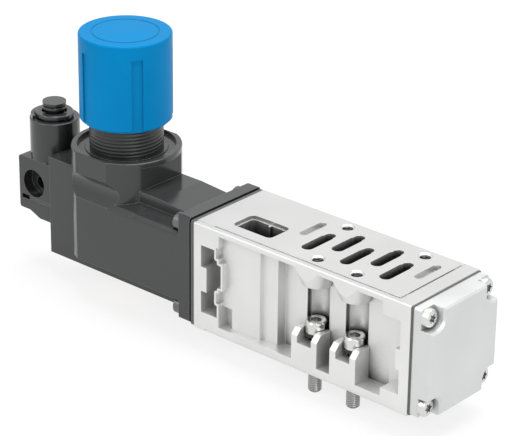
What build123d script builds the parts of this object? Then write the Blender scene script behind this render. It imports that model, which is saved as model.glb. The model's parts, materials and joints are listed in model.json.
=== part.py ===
from build123d import *
import os
from math import cos, pi, radians, sin, sqrt, tan

# A pressure regulator plate for stacking between a valve and its sub-base.
# Millimetres, +Z up. The origin is the centre of the port pattern on the base
# face of the die-cast plate, +X runs to the end cap, and the side with the two
# screw posts faces -Y.

# Die-cast plate
plate_width = 42.0
plate_height = 45.8
plate_left_reach = 66.5
plate_right_reach = 40.8
lip_radius = 0.9
pad_step = 0.2
pad_front_margin = 2.4
pad_right_margin = 6.7
pad_groove_width = 0.4
pad_groove_depth = 0.5
pad_groove_left = 9.0
foot_step = 0.3
foot_height = 0.9
foot_margin = 6.0

# Port pattern
port_pitch = 9.5
slot_width = 5.0
slot_lobe_width = 4.2
slot_lobe_reach = 1.9
slot_lobe_setback = 1.5
front_slot_start = -10.8
front_slot_end = 7.2
back_slot_start = -4.2
back_slot_end = 13.4
slot_cup_depth = 12.0
front_duct_end = -0.8
back_duct_start = 8.2
pilot_offset = 28.0
pilot_width = 3.4
pilot_start = -1.7
pilot_end = 12.7
pilot_depth = 2.4
pilot_hole_radius = 1.2

# Galleries between the plate and the regulator
gallery_radius = 3.0
gallery_y = 3.8
supply_z = 17.5
regulated_z = 28.5
gallery_web = 0.3

# Threaded holes on top and the captive screws below
front_bolt_y = -13.7
back_bolt_y = 15.6
tap_radius = 2.1
tap_countersink_radius = 2.9
screw_radius = 2.5
screw_waist_radius = 2.1
screw_hole_radius = 2.75
screw_head_radius = 4.25
screw_head_height = 5.0
screw_length = 26.0
screw_socket_flats = 4.0
screw_socket_depth = 2.6
screw_seat_z = 14.0
head_clearance = 0.35
retainer_thickness = 1.2
screw_tip_chamfer = 0.7
head_edge = 0.5
loose_fit = 0.05

# Window for the electrical link
window_left = -53.9
window_length = 19.5
window_front = -12.7
window_width = 12.4
window_corner = 2.2
window_rim_depth = 1.6
window_ledge = 0.6
window_rib = 1.0

# Cast recesses in the long sides
floor_z = 3.8
rail_thickness = 2.5
panel_a_depth = 3.1
panel_b_depth = 4.8
panel_c_depth = 8.4
panel_a_left = -49.5
panel_b_left = -34.6
panel_c_left = -26.9
panel_step_slant = 0.7
recess_right = 36.3
recess_fillet = 1.2
rear_recess_left = -38.0
rear_recess_depth = 5.6
wall_inset = 13.1
wall_thickness = 0.9
wall_corner = 0.9
hook_reach = 1.4
hook_height = 4.6
upper_hook_rise = 35.8
lower_hook_rise = 16.3
bulge_depth = 2.0
bulge_height = 11.6
bulge_rise = 26.0
pocket_inset = 3.8
pocket_drop = 8.9
pocket_depth = 10.0
nose_reach = 2.9
nose_height = 10.6
nose_rise = 22.3
sill_z = 7.8
sill_depth = 5.4
sill_length = 4.4

# Screw posts
post_width = 12.6
post_height = 17.0
post_chamfer = 2.5
post_notch_width = 6.9
post_notch_z = 11.6
channel_radius = 5.5
channel_flat_depth = 1.7
hood_bottom_z = 35.7
hood_bottom_radius = 5.9
hood_top_radius = 9.2

# End cap with its gasket and four screws
corner_screw_side_inset = 3.9
corner_screw_inset = 4.4
gasket_thickness = 0.8
gasket_inset = 0.3
cap_flange_thickness = 3.6
cap_block_depth = 5.3
cap_inset = 0.6
notch_width = 7.8
notch_height = 8.8
notch_corner = 4.0
corner_hole_radius = 2.2
corner_screw_radius = 2.0
pan_head_radius = 3.7
pan_head_height = 2.7
pan_head_rounding = 1.3
star_radius = 2.2
star_depth = 1.5
cap_edge = 0.9
corner_screw_length = 12.0
boss_length = 8.5
boss_height = 3.4
boss_top_height = 5.4
bulge_bottom = 17.6
bulge_top = 26.2
bulge_reach = 2.0

# Seals at the two faces of the plate
base_seal_thickness = 1.0
base_seal_margin = 1.4
base_seal_rise = 0.3
seal_fit = 0.1
carrier_thickness = 1.65
flange_seal_thickness = 0.8
flange_seal_inset = 0.9

# Black regulator housing
flange_thickness = 5.85
flange_top = 46.4
flange_bottom = 0.7
flange_corner = 1.2
spine_half_width = 12.4
spine_bottom = 0.8
spine_top = 44.3
spine_slope_reach = 18.2
spine_slope_foot = 4.2
spine_slope_drop = 1.0
spine_end_gap = 8.7
wing_bottom = 8.6
wing_edge_top = 38.1
wing_inner_top = 39.6
wing_edge_radius = 2.7
wing_foot_radius = 0.8
collar_reach = 48.4
collar_radius = 22.7
collar_top = 56.4
collar_rim = 2.3
collar_edge = 0.5
collar_flat_reach = 19.4
collar_floor_depth = 1.5
ring_radius = 17.0
ring_depth = 6.5
ring_rise = 0.4
cove_center_z = 42.1
cove_radius = 6.8
cove_depth = 2.7
head_relief = 0.6
heel_radius = 2.6
housing_screw_length = 16.0
housing_screw_head_radius = 3.5
housing_screw_head_height = 4.0
housing_screw_socket = 3.0

# Gauge end of the housing
gauge_reach = 42.0
gauge_radius = 10.5
gauge_top = 56.6
tower_rim_rise = 1.5
tower_rim_width = 1.5
tower_rim_reach = 3.5
port_block_reach = 11.8
port_block_half_width = 10.2
port_block_top = 38.9
port_block_bottom = 15.0
port_block_corner = 1.2
port_belly_z = 12.6
side_port_shift = 3.0
side_port_z = 27.8
side_port_radius = 6.2
side_port_depth = 4.6
port_insert_radius = 5.6
port_insert_thickness = 1.2
side_port_drop = 0.9
side_bore_depth = 2.2
side_port_bore = 2.65
gauge_duct_radius = 1.6
gauge_riser_radius = 2.0
clip_z = 20.5
clip_thickness = 0.9
clip_reach = 5.8
clip_length = 12.2
clip_depth = 8.0
clip_leg = 2.6
clip_pocket_length = 4.6
clip_pocket_height = 2.0
clip_pocket_depth = 2.0

# Push-in cartridge, release ring and blanking plug
cartridge_radius = 7.0
cartridge_length = 15.0
cartridge_wall = 1.0
plug_radius = 5.0
plug_neck_radius = 3.9
plug_top = 63.4
plug_length = 20.0
plug_disc_thickness = 0.9
plug_disc_gap = 1.1
plug_neck_length = 2.6
release_ring_radius = 8.0
release_ring_height = 1.6
release_ring_gap = 0.9
release_bore_gap = 0.36
release_sleeve_length = 4.0
release_tab_reach = 8.9
release_tab_radius = 3.0
cartridge_floor = 1.3
cartridge_step = 4.0
cartridge_port_radius = 2.5
tube_seal_height = 1.8
grip_rise = 4.4
grip_height = 2.0

# Bonnet, knob and adjusting mechanism
bonnet_radius = 15.0
bonnet_bore = 13.0
bonnet_bottom = 39.4
bonnet_shoulder = 76.0
bonnet_neck_radius = 12.0
bonnet_top = 88.0
bonnet_roof = 2.5
bonnet_bore_top = 73.5
bonnet_neck_bore = 9.5
bonnet_edge = 0.8
nut_slot_width = 4.2
nut_slot_reach = 0.8
knob_radius = 19.0
knob_bottom = 67.8
knob_top = 104.8
knob_wall = 2.2
knob_roof = 3.3
knob_groove_count = 5
knob_groove_width = 4.6
knob_groove_depth = 0.9
knob_groove_start = 6.0
knob_groove_turn = 40.5
knob_edge = 0.8
knob_foot_chamfer = 1.0
knob_hub_radius = 7.0
knob_hub_bottom = 90.0
knob_guide_bottom = 80.0
knob_guide_height = 3.0
knob_pull = 3.0
ring_line_radius = 13.6
ring_line_width = 0.5
ring_line_depth = 0.2
running_clearance = 0.08
spindle_radius = 4.0
spindle_hex = 6.6
spindle_collar_radius = 8.0
spindle_collar_height = 2.5
spindle_top = 98.0
spindle_hex_bottom = 88.6
spindle_ring_gap = 0.2
spindle_ring_height = 1.8
spindle_bottom = 55.0
nut_height = 6.0
nut_bottom = 62.0

# Piston, valve and springs inside the housing
piston_radius = 14.0
piston_bottom = 33.0
piston_height = 6.0
piston_bore_bottom = 25.5
piston_groove_depth = 1.6
piston_groove_height = 2.2
piston_recess_radius = 10.4
piston_recess_depth = 1.5
spring_gap = 0.3
range_spring_radius = 8.6
range_spring_wire = 2.0
range_spring_turns = 5.0
valve_seat_z = 23.0
valve_seat_radius = 4.0
valve_seat_height = 2.0
valve_chamber_radius = 7.5
poppet_radius = 6.2
poppet_height = 5.0
poppet_seal_height = 1.2
poppet_gap = 0.1
stem_radius = 1.6
stem_gap = 0.3
guide_pin_bottom = 5.0
poppet_spring_radius = 4.4
poppet_spring_wire = 0.9
poppet_spring_turns = 5.0
bottom_plug_radius = 10.0
bottom_plug_height = 5.0
bottom_plug_flange = 1.2
bottom_plug_hex = 8.0
bottom_plug_hex_depth = 1.5
guide_boss_radius = 3.0
guide_boss_height = 2.7
guide_bore_depth = 5.0
plug_groove_depth = 0.8
plug_groove_height = 1.4
plug_groove_rise = 1.4

# Sizes that follow from the ones above
half_width = plate_width / 2
plate_left = -plate_left_reach
rail_z = plate_height - rail_thickness
pad_right_x = plate_right_reach - pad_right_margin
front_bolts = [(-port_pitch, front_bolt_y), (port_pitch, front_bolt_y)]
back_bolts = [(-2 * port_pitch, back_bolt_y), (2 * port_pitch, back_bolt_y)]
front_slots = [-2 * port_pitch, 0.0, 2 * port_pitch]
front_lobe_start = front_slot_start + slot_lobe_setback
back_lobe_start = back_slot_start + slot_lobe_setback
back_slots = [-port_pitch, port_pitch]
corner_screw_y = half_width - corner_screw_side_inset
corner_rows = [corner_screw_inset, plate_height - corner_screw_inset]
corner_points = [(side * corner_screw_y, row) for side in (-1, 1) for row in corner_rows]
panel_c_y = -half_width + panel_c_depth
rear_wall_y = half_width - rear_recess_depth
window_x = window_left + window_length / 2
window_y = window_front + window_width / 2
cap_left = plate_right_reach + gasket_thickness
cap_step = cap_left + cap_flange_thickness
cap_right = cap_step + cap_block_depth
carrier_left = plate_left - carrier_thickness
wall_x = plate_left + wall_inset
pocket_left = plate_left + pocket_inset
seal_left = carrier_left - flange_seal_thickness
flange_left = seal_left - flange_thickness
face_height = flange_top - flange_bottom
collar_x = flange_left - collar_reach
collar_flat_x = collar_x + collar_flat_reach
gauge_x = collar_x - gauge_reach
spine_left = gauge_x + spine_end_gap
spine_slope_start = flange_left - spine_slope_reach
spine_slope_end = flange_left - spine_slope_foot
port_block_left = gauge_x - port_block_reach
side_port_x = gauge_x - side_port_shift
clip_left = gauge_x - clip_reach
screw_head_z = screw_seat_z + retainer_thickness
ring_floor_z = collar_top - collar_floor_depth
side_port_floor = port_block_half_width - side_port_depth - port_insert_thickness
plug_top_z = spine_bottom + bottom_plug_height
seat_bottom_z = valve_seat_z - valve_seat_height
poppet_seal_bottom = seat_bottom_z - poppet_gap - poppet_seal_height
poppet_bottom = poppet_seal_bottom - poppet_height
cartridge_bottom = gauge_top - cartridge_length
cartridge_bore = cartridge_radius - cartridge_wall
release_bore = plug_radius + release_bore_gap
release_bottom = gauge_top + release_ring_gap
roof_z = bonnet_top - bonnet_roof
collar_top_z = roof_z - running_clearance
spring_floor_z = piston_bottom + piston_height - piston_recess_depth


def export_node(builder, name):
    """Label one finished piece and write it under its node name."""
    builder.part.label = name
    export_step(builder.part, f"parts/{name}.step")


def slot_sketch(center_x, start, end, width, mode=Mode.ADD):
    """Full-round slot along Y in the current sketch."""
    with Locations((center_x, (start + end) / 2)):
        SlotOverall(end - start, width, rotation=90, mode=mode)


def port_sketch(margin):
    """All main ports of the pattern in the current sketch, grown by a margin."""
    for slot_x in front_slots:
        slot_sketch(
            slot_x,
            front_slot_start - margin,
            front_slot_end + margin,
            slot_width + 2 * margin,
        )
    for slot_x in back_slots:
        slot_sketch(
            slot_x,
            back_slot_start - margin,
            back_slot_end + margin,
            slot_width + 2 * margin,
        )


def seal_sketch(margin):
    """Outline of the moulded base seal in the current sketch."""
    port_sketch(margin)
    with Locations((0, (back_slot_start + front_slot_end) / 2)):
        Rectangle(2 * pilot_offset, slot_width)
    for side in (-1, 1):
        slot_sketch(
            side * pilot_offset,
            pilot_start - margin,
            pilot_end + margin,
            pilot_width + 2 * margin,
        )


def coil_spring(center_x, bottom, top, radius, wire, turns):
    """Flat-wire compression spring standing between two levels."""
    rise = top - bottom - wire
    with BuildLine() as coil:
        path = Helix(rise / turns, rise, radius, center=(center_x, 0, bottom + wire / 2))
    with BuildSketch(Plane(path @ 0, x_dir=(1, 0, 0), z_dir=path % 0)) as section:
        Rectangle(wire, wire)
    sweep(section.sketch, path=coil.wires()[0], is_frenet=True)


def disc(center_x, bottom, top, radius, mode=Mode.ADD):
    """Upright round disc between two levels on the centre line."""
    with Locations((center_x, 0, bottom)):
        Cylinder(
            radius,
            top - bottom,
            align=(Align.CENTER, Align.CENTER, Align.MIN),
            mode=mode,
        )


os.makedirs("parts", exist_ok=True)

# Die-cast plate body
with BuildPart() as plate_body:
    with BuildSketch(Plane.YZ.offset(plate_left)) as plate_section:
        Rectangle(plate_width, plate_height, align=(Align.CENTER, Align.MIN))
        fillet(plate_section.vertices().group_by(Axis.Y)[-1], lip_radius)
    extrude(amount=plate_left_reach + plate_right_reach)

    # Long side facing -Y: stepped back wall, cut as one plan outline
    with BuildSketch(Plane.XY.offset(floor_z)):
        with BuildLine():
            Polyline(
                (panel_a_left - panel_a_depth / 2, -plate_width),
                (panel_a_left - panel_a_depth / 2, -half_width),
                (panel_a_left, -half_width + panel_a_depth),
                (panel_b_left, -half_width + panel_a_depth),
                (panel_b_left + panel_step_slant, -half_width + panel_b_depth),
                (panel_c_left, -half_width + panel_b_depth),
                (panel_c_left + panel_step_slant, panel_c_y),
                (recess_right, panel_c_y),
                (recess_right, -plate_width),
                close=True,
            )
        make_face()
    extrude(amount=rail_z - floor_z, mode=Mode.SUBTRACT)

    # Left end of that recess: a shelf bordered by the curved thin wall
    with BuildSketch(Plane.XZ.offset(half_width)) as shelf:
        with Locations((wall_x, floor_z)):
            Rectangle(panel_a_left - wall_x, rail_z - floor_z, align=(Align.MIN, Align.MIN))
        with Locations((wall_x, upper_hook_rise), (wall_x, lower_hook_rise)):
            Rectangle(2 * hook_reach, hook_height)
        with Locations((wall_x, bulge_rise)):
            Rectangle(2 * bulge_depth, bulge_height, mode=Mode.SUBTRACT)
        fillet(
            shelf.vertices().filter_by(lambda corner: floor_z < corner.Z < rail_z),
            wall_corner,
        )
    extrude(amount=-panel_a_depth, mode=Mode.SUBTRACT)

    # Deep pocket at the regulator end, behind the thin wall
    with BuildSketch(Plane.XZ.offset(half_width)):
        with Locations((pocket_left, sill_z)):
            Rectangle(
                panel_a_left - pocket_left,
                plate_height - pocket_drop - sill_z,
                align=(Align.MIN, Align.MIN),
            )
        with Locations((pocket_left, nose_rise)):
            Rectangle(2 * nose_reach, nose_height, mode=Mode.SUBTRACT)
        offset(shelf.sketch, wall_thickness, mode=Mode.SUBTRACT)
    extrude(amount=-pocket_depth, mode=Mode.SUBTRACT)
    with BuildSketch(Plane.XZ.offset(half_width)):
        with Locations((wall_x, floor_z)):
            Rectangle(
                sill_length,
                sill_z + sill_length - floor_z,
                align=(Align.MIN, Align.MIN),
            )
    extrude(amount=-sill_depth, mode=Mode.SUBTRACT)

    # Long side facing +Y: one plain recess for the two rear posts
    with BuildSketch(Plane.XY.offset(floor_z)):
        with Locations((rear_recess_left, rear_wall_y)):
            Rectangle(
                recess_right - rear_recess_left,
                plate_width,
                align=(Align.MIN, Align.MIN),
            )
    extrude(amount=rail_z - floor_z, mode=Mode.SUBTRACT)

    # Screw bosses at the cap end of both recesses, and the bulge beside them
    for side, wall in ((-1, panel_c_y), (1, rear_wall_y)):
        depth = half_width - abs(wall)
        with BuildSketch(Plane.XZ.offset(-wall if side < 0 else -half_width)):
            with Locations((recess_right, floor_z)):
                Rectangle(boss_length, boss_height, align=(Align.MAX, Align.MIN))
            with Locations((recess_right, rail_z)):
                Rectangle(boss_length, boss_top_height, align=(Align.MAX, Align.MAX))
            with Locations((recess_right, bulge_bottom)):
                Rectangle(
                    bulge_reach,
                    bulge_top - bulge_bottom,
                    align=(Align.MAX, Align.MIN),
                )
        extrude(amount=depth)

    # Screw posts, hoods round the tapped holes and half-round channels
    for side, bolts, wall in ((-1, front_bolts, panel_c_y), (1, back_bolts, rear_wall_y)):
        face = side * half_width
        for bolt_x, bolt_y in bolts:
            with BuildSketch(Plane.YZ.offset(bolt_x - post_width / 2)):
                with BuildLine():
                    Polyline(
                        (wall, floor_z),
                        (face, floor_z),
                        (face, post_height - post_chamfer),
                        (face - side * post_chamfer, post_height),
                        (wall, post_height),
                        close=True,
                    )
                make_face()
            extrude(amount=post_width)
            with Locations((bolt_x, bolt_y, hood_bottom_z)):
                Cone(
                    hood_bottom_radius,
                    hood_top_radius,
                    rail_z - hood_bottom_z,
                    align=(Align.CENTER, Align.CENTER, Align.MIN),
                )
            with BuildSketch(Plane.XY.offset(hood_bottom_z)):
                with Locations((bolt_x, face)):
                    Rectangle(
                        2 * hood_top_radius,
                        hood_top_radius,
                        align=(Align.CENTER, Align.MAX if side < 0 else Align.MIN),
                    )
            extrude(amount=rail_z - hood_bottom_z, mode=Mode.SUBTRACT)
            with BuildSketch(Plane.XY.offset(post_height)):
                with Locations((bolt_x, wall)):
                    Rectangle(2 * channel_radius, 2 * channel_flat_depth)
                with Locations((bolt_x, bolt_y)):
                    Circle(channel_radius)
            extrude(amount=hood_bottom_z - post_height, mode=Mode.SUBTRACT)
            with BuildSketch(Plane.XY.offset(screw_seat_z)):
                with Locations((bolt_x, bolt_y)):
                    Circle(screw_head_radius + head_clearance)
            extrude(amount=post_height - screw_seat_z, mode=Mode.SUBTRACT)
            with BuildSketch(Plane.XY.offset(post_notch_z)):
                with Locations((bolt_x, bolt_y)):
                    Rectangle(
                        post_notch_width,
                        half_width,
                        align=(Align.CENTER, Align.MAX if side < 0 else Align.MIN),
                    )
            extrude(amount=post_height - post_notch_z, mode=Mode.SUBTRACT)
            with BuildSketch(Plane.XY):
                with Locations((bolt_x, bolt_y)):
                    Circle(screw_hole_radius)
            extrude(amount=screw_seat_z, mode=Mode.SUBTRACT)
            with BuildSketch(Plane.XY.offset(plate_height)):
                with Locations((bolt_x, bolt_y)):
                    Circle(tap_radius)
            extrude(amount=hood_bottom_z - plate_height, mode=Mode.SUBTRACT)
            with Locations((bolt_x, bolt_y, plate_height)):
                Cone(
                    tap_radius,
                    tap_countersink_radius,
                    tap_countersink_radius - tap_radius,
                    align=(Align.CENTER, Align.CENTER, Align.MAX),
                    mode=Mode.SUBTRACT,
                )

    # Ports: cups under the top face and over the base face, joined by ducts
    for level, rise in ((plate_height - slot_cup_depth, slot_cup_depth), (0.0, slot_cup_depth)):
        with BuildSketch(Plane.XY.offset(level)):
            for slot_x in front_slots:
                slot_sketch(slot_x, front_slot_start, front_slot_end - slot_lobe_reach, slot_width)
                slot_sketch(slot_x, front_lobe_start, front_slot_end, slot_lobe_width)
            for slot_x in back_slots:
                slot_sketch(slot_x, back_slot_start, back_slot_end - slot_lobe_reach, slot_width)
                slot_sketch(slot_x, back_lobe_start, back_slot_end, slot_lobe_width)
        extrude(amount=rise, mode=Mode.SUBTRACT)
    with BuildSketch(Plane.XY):
        for slot_x in (front_slots[0], front_slots[-1]):
            slot_sketch(slot_x, front_slot_start, front_duct_end, slot_width)
        for slot_x in back_slots:
            slot_sketch(slot_x, back_duct_start, back_slot_end, slot_lobe_width)
    extrude(amount=plate_height, mode=Mode.SUBTRACT)
    for level, target in ((plate_height, regulated_z - gallery_radius), (0.0, supply_z + gallery_radius)):
        with BuildSketch(Plane.XY.offset(level)):
            slot_sketch(front_slots[1], front_lobe_start, front_slot_end, slot_lobe_width)
        extrude(amount=target - level, mode=Mode.SUBTRACT)
    for row in (supply_z, regulated_z):
        with BuildSketch(Plane.YZ.offset(plate_left)):
            with Locations((gallery_y, row)):
                Circle(gallery_radius)
        extrude(amount=plate_left_reach, mode=Mode.SUBTRACT)

    # Pilot grooves with a through hole at their far end
    for side in (-1, 1):
        with BuildSketch(Plane.XY.offset(plate_height - pilot_depth)):
            slot_sketch(side * pilot_offset, pilot_start, pilot_end, pilot_width)
        extrude(amount=pilot_depth, mode=Mode.SUBTRACT)
        with BuildSketch(Plane.XY):
            with Locations((side * pilot_offset, pilot_end - pilot_width / 2)):
                Circle(pilot_hole_radius)
        extrude(amount=plate_height, mode=Mode.SUBTRACT)

    # Window with a narrow ledge and a guide rib
    with BuildSketch(Plane.XY):
        with Locations((window_x, window_y)):
            RectangleRounded(
                window_length - 2 * window_ledge,
                window_width - 2 * window_ledge,
                window_corner - window_ledge,
            )
        with Locations((window_x, window_front + window_width)):
            Rectangle(window_rib, 2 * (window_ledge + window_rib), mode=Mode.SUBTRACT)
    extrude(amount=plate_height, mode=Mode.SUBTRACT)
    with BuildSketch(Plane.XY.offset(plate_height - window_rim_depth)):
        with Locations((window_x, window_y)):
            RectangleRounded(window_length, window_width, window_corner)
    extrude(amount=window_rim_depth, mode=Mode.SUBTRACT)

    # Groove for the base seal
    with BuildSketch(Plane.XY):
        seal_sketch(base_seal_margin + seal_fit)
    extrude(amount=base_seal_thickness, mode=Mode.SUBTRACT)

    # Tapped corner holes in both end faces
    for end_x, reach in ((plate_left, corner_screw_length), (plate_right_reach, -corner_screw_length)):
        with BuildSketch(Plane.YZ.offset(end_x)):
            with Locations(*corner_points):
                Circle(corner_screw_radius + loose_fit)
        extrude(amount=reach, mode=Mode.SUBTRACT)

    # Fine step round the machined seal face, and along the foot
    with BuildSketch(Plane.XY.offset(plate_height - pad_step)):
        with Locations((plate_left, -half_width)):
            Rectangle(
                plate_left_reach + plate_right_reach,
                pad_front_margin,
                align=(Align.MIN, Align.MIN),
            )
        with Locations((plate_right_reach, -half_width)):
            Rectangle(pad_right_margin, plate_width, align=(Align.MAX, Align.MIN))
    extrude(amount=pad_step, mode=Mode.SUBTRACT)
    with BuildSketch(Plane.XY.offset(plate_height - pad_groove_depth)):
        with Locations((plate_left + pad_groove_left, pad_front_margin - half_width)):
            Rectangle(
                pad_right_x - plate_left - pad_groove_left,
                pad_groove_width,
                align=(Align.MIN, Align.MIN),
            )
        with Locations((pad_right_x, pad_front_margin - half_width)):
            Rectangle(
                pad_groove_width,
                plate_width - 2 * pad_front_margin,
                align=(Align.MAX, Align.MIN),
            )
    extrude(amount=pad_groove_depth, mode=Mode.SUBTRACT)
    with BuildSketch(Plane.XY):
        for side in (-1, 1):
            with Locations(((plate_right_reach - plate_left_reach) / 2, side * half_width)):
                Rectangle(
                    plate_left_reach + plate_right_reach - 2 * foot_margin,
                    2 * foot_step,
                )
    extrude(amount=foot_height, mode=Mode.SUBTRACT)
export_node(plate_body, "plate_body")

# Base seal with the ports left open
with BuildPart() as base_seal:
    with BuildSketch(Plane.XY.offset(-base_seal_rise)):
        seal_sketch(base_seal_margin)
        for slot_x in front_slots:
            slot_sketch(slot_x, front_slot_start, front_slot_end, slot_width, Mode.SUBTRACT)
        for slot_x in back_slots:
            slot_sketch(slot_x, back_slot_start, back_slot_end, slot_width, Mode.SUBTRACT)
        with Locations(*[(side * pilot_offset, pilot_end - pilot_width / 2) for side in (-1, 1)]):
            Circle(pilot_hole_radius, mode=Mode.SUBTRACT)
    extrude(amount=base_seal_rise + base_seal_thickness)
export_node(base_seal, "base_seal")

# Captive screws and the washers that keep them
with BuildPart() as mounting_screws:
    with BuildSketch(Plane.XY.offset(screw_head_z)):
        with Locations(*front_bolts, *back_bolts):
            Circle(screw_head_radius)
    extrude(amount=screw_head_height)
    chamfer(mounting_screws.edges().group_by(Axis.Z)[-1], head_edge)
    with BuildSketch(Plane.XY.offset(screw_head_z)):
        with Locations(*front_bolts, *back_bolts):
            Circle(screw_waist_radius)
    extrude(amount=-screw_head_z)
    with BuildSketch(Plane.XY):
        with Locations(*front_bolts, *back_bolts):
            Circle(screw_radius)
    extrude(amount=screw_head_z - screw_length)
    chamfer(mounting_screws.edges().group_by(Axis.Z)[0], screw_tip_chamfer)
    with BuildSketch(Plane.XY.offset(screw_head_z + screw_head_height)):
        with Locations(*front_bolts, *back_bolts):
            RegularPolygon(screw_socket_flats / 2, 6, major_radius=False)
    extrude(amount=-screw_socket_depth, mode=Mode.SUBTRACT)
export_node(mounting_screws, "mounting_screws")

with BuildPart() as screw_retainers:
    with BuildSketch(Plane.XY.offset(screw_seat_z)):
        with Locations(*front_bolts, *back_bolts):
            Circle(screw_head_radius + head_clearance - loose_fit)
            Circle(screw_waist_radius + loose_fit, mode=Mode.SUBTRACT)
    extrude(amount=retainer_thickness)
export_node(screw_retainers, "screw_retainers")

# End cap, gasket and pan head screws
with BuildPart() as cap_gasket:
    with BuildSketch(Plane.YZ.offset(plate_right_reach)):
        with Locations((0, plate_height / 2)):
            RectangleRounded(
                plate_width - 2 * gasket_inset,
                plate_height - 2 * gasket_inset,
                lip_radius,
            )
        with Locations(*corner_points):
            Circle(corner_hole_radius, mode=Mode.SUBTRACT)
    extrude(amount=gasket_thickness)
export_node(cap_gasket, "cap_gasket")

with BuildPart() as end_cap:
    with BuildSketch(Plane.YZ.offset(cap_left)):
        with Locations((0, plate_height / 2)):
            RectangleRounded(
                plate_width - 2 * cap_inset,
                plate_height - 2 * cap_inset,
                lip_radius,
            )
    extrude(amount=cap_flange_thickness + cap_block_depth)
    with BuildSketch(Plane.YZ.offset(cap_step)):
        with Locations((0, plate_height / 2)):
            with GridLocations(plate_width, plate_height, 2, 2):
                RectangleRounded(2 * notch_width, 2 * notch_height, notch_corner)
    extrude(amount=cap_block_depth, mode=Mode.SUBTRACT)
    chamfer(end_cap.edges().group_by(Axis.X)[-1], cap_edge)
    with BuildSketch(Plane.YZ.offset(cap_left)):
        with Locations(*corner_points):
            Circle(corner_hole_radius)
    extrude(amount=cap_flange_thickness, mode=Mode.SUBTRACT)
export_node(end_cap, "end_cap")

with BuildPart() as cap_screws:
    with BuildSketch(Plane.YZ.offset(cap_step)):
        with Locations(*corner_points):
            Circle(pan_head_radius)
    extrude(amount=pan_head_height)
    fillet(cap_screws.edges().group_by(Axis.X)[-1], pan_head_rounding)
    with BuildSketch(Plane.YZ.offset(cap_step)):
        with Locations(*corner_points):
            Circle(corner_screw_radius)
    extrude(amount=-corner_screw_length)
    with BuildSketch(Plane.YZ.offset(cap_step + pan_head_height)):
        with Locations(*corner_points):
            RegularPolygon(star_radius, 3)
            RegularPolygon(star_radius, 3, rotation=180)
    extrude(amount=-star_depth, mode=Mode.SUBTRACT)
export_node(cap_screws, "cap_screws")

# Seal carrier and seal at the regulator end
with BuildPart() as flange_carrier:
    with BuildSketch(Plane.YZ.offset(carrier_left)):
        with Locations((0, plate_height / 2)):
            RectangleRounded(plate_width, plate_height, flange_corner)
        with Locations(*corner_points):
            Circle(corner_hole_radius, mode=Mode.SUBTRACT)
        with Locations((gallery_y, supply_z), (gallery_y, regulated_z)):
            Circle(gallery_radius, mode=Mode.SUBTRACT)
    extrude(amount=carrier_thickness)
export_node(flange_carrier, "flange_carrier")

with BuildPart() as flange_gasket:
    with BuildSketch(Plane.YZ.offset(seal_left)):
        with Locations((0, plate_height / 2)):
            RectangleRounded(
                plate_width - 2 * flange_seal_inset,
                plate_height - 2 * flange_seal_inset,
                flange_corner,
            )
        with Locations(*corner_points):
            Circle(corner_hole_radius, mode=Mode.SUBTRACT)
        with Locations((gallery_y, supply_z), (gallery_y, regulated_z)):
            Circle(gallery_radius, mode=Mode.SUBTRACT)
    extrude(amount=flange_seal_thickness)
export_node(flange_gasket, "flange_gasket")

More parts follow.
